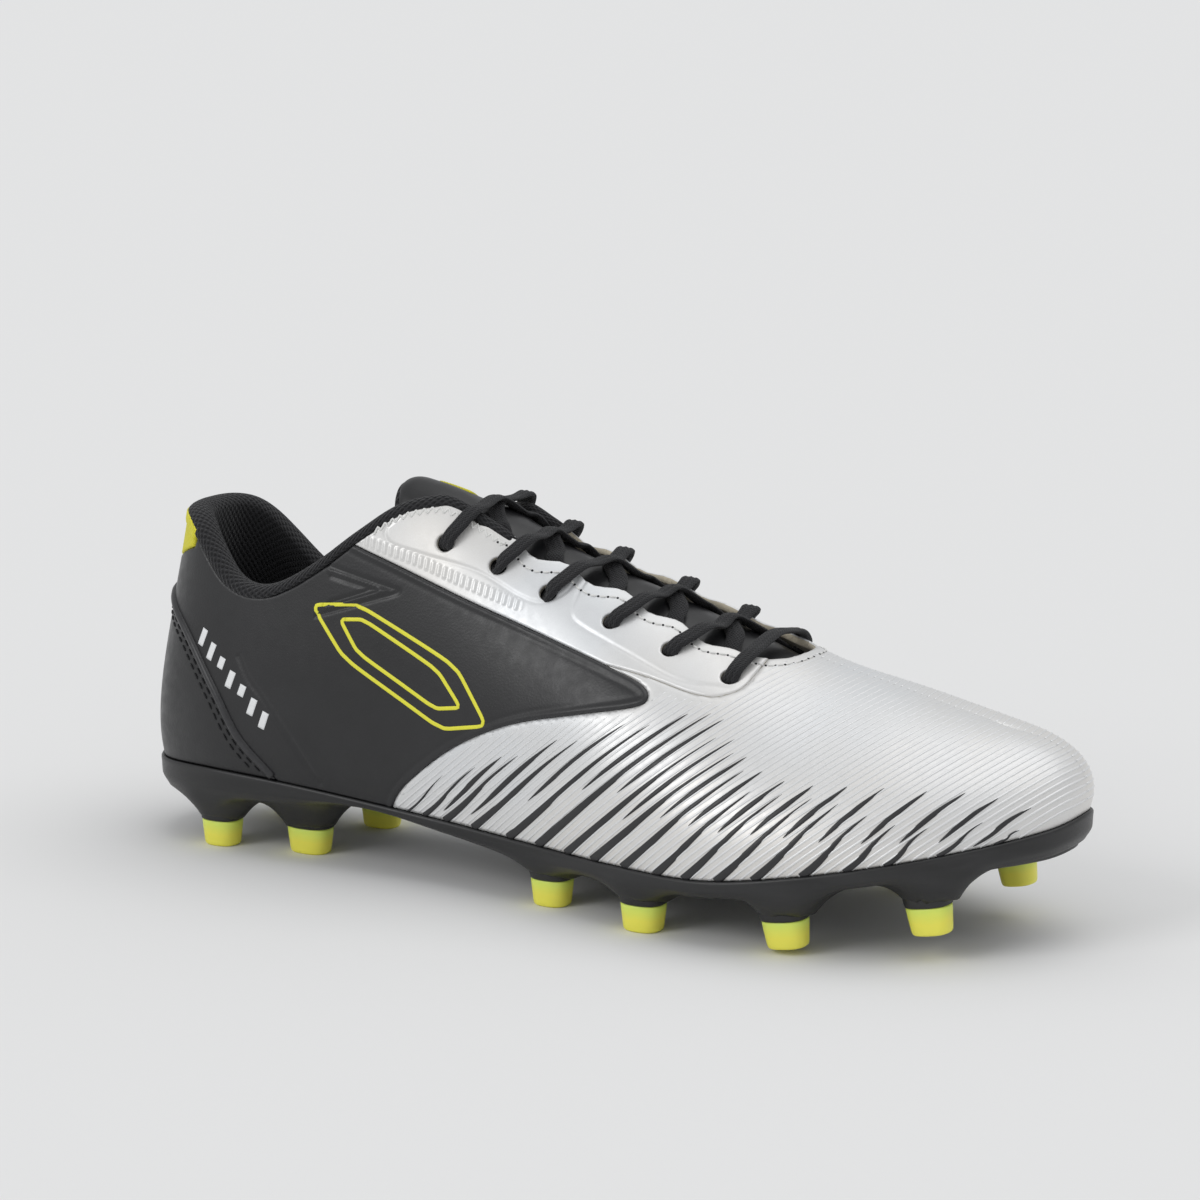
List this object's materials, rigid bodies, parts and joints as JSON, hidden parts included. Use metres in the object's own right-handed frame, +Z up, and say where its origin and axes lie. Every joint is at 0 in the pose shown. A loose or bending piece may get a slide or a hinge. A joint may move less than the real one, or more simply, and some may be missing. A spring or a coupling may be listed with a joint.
{
  "type": "soccer cleat",
  "caption": "Low-cut laced football boot, right foot, moulded plate with studs, padded collar, synthetic upper and hinged tongue under a crossed lace.",
  "frame": {"origin": "middle of the outer box on the ground plane, under the stud faces", "axes": "+X towards the toe, -Y the lateral side seen in the picture, +Y medial, +Z up"},
  "size_m": [0.2732, 0.0886, 0.1058],
  "materials": {
    "black_tpu": "satin moulded thermoplastic polyurethane",
    "yellow_tpu": "satin moulded thermoplastic polyurethane",
    "black_synthetic": "satin polyurethane-coated synthetic leather",
    "silver_synthetic": "pearlescent polyurethane-coated synthetic leather with fine ribs",
    "black_knit": "spacer knit mesh",
    "black_foam": "open-cell foam with a textile cover",
    "cream_textile": "brushed textile lining",
    "grey_board": "stitched fibre board",
    "white_stiffener": "thermoformed sheet",
    "yellow_textile": "woven webbing",
    "black_lace": "flat woven cord"
  },
  "bodies": {
    "boot": {"outsole_plate": "black_tpu", "stud_tip_heel_lateral_rear": "yellow_tpu", "stud_tip_heel_lateral_front": "yellow_tpu", "stud_tip_heel_medial_rear": "yellow_tpu", "stud_tip_heel_medial_front": "yellow_tpu", "stud_tip_fore_lateral_1": "yellow_tpu", "stud_tip_fore_lateral_2": "yellow_tpu", "stud_tip_fore_lateral_3": "yellow_tpu", "stud_tip_fore_lateral_4": "yellow_tpu", "stud_tip_fore_medial_1": "yellow_tpu", "stud_tip_fore_medial_2": "yellow_tpu", "stud_tip_fore_medial_3": "yellow_tpu", "stud_tip_fore_medial_4": "yellow_tpu", "insole_board": "grey_board", "quarter_lateral": "black_synthetic", "quarter_medial": "black_synthetic", "heel_panel": "black_synthetic", "heel_piping": "black_synthetic", "heel_tab": "yellow_textile", "eyestay_lateral": "silver_synthetic", "eyestay_medial": "silver_synthetic", "vamp": "silver_synthetic", "vamp_lining": "cream_textile", "collar_lining": "black_knit", "collar_foam": "black_foam", "heel_counter": "white_stiffener", "toe_puff": "white_stiffener", "lace": "black_lace", "aglet_lateral": "black_tpu", "aglet_medial": "black_tpu"},
    "tongue": {"tongue_face": "black_knit", "tongue_foam": "black_foam", "tongue_lining": "black_knit", "tongue_label": "yellow_textile"},
    "sockliner": {"sockliner": "black_foam"}
  },
  "joints": [
    {"name": "tongue_hinge", "type": "hinge", "parent": "boot", "child": "tongue", "pos_m": [0.0625, 0.0063, 0.057], "axis": [0, 1, 0], "range_deg": [-10, 0], "stiffness_Nm_per_rad": 0.9},
    {"name": "sockliner_lift", "type": "hinge", "parent": "boot", "child": "sockliner", "pos_m": [0.1302, 0.0063, 0.0349], "axis": [0, 1, 0], "range_deg": [0, 2], "stiffness_Nm_per_rad": 0.4}
  ]
}
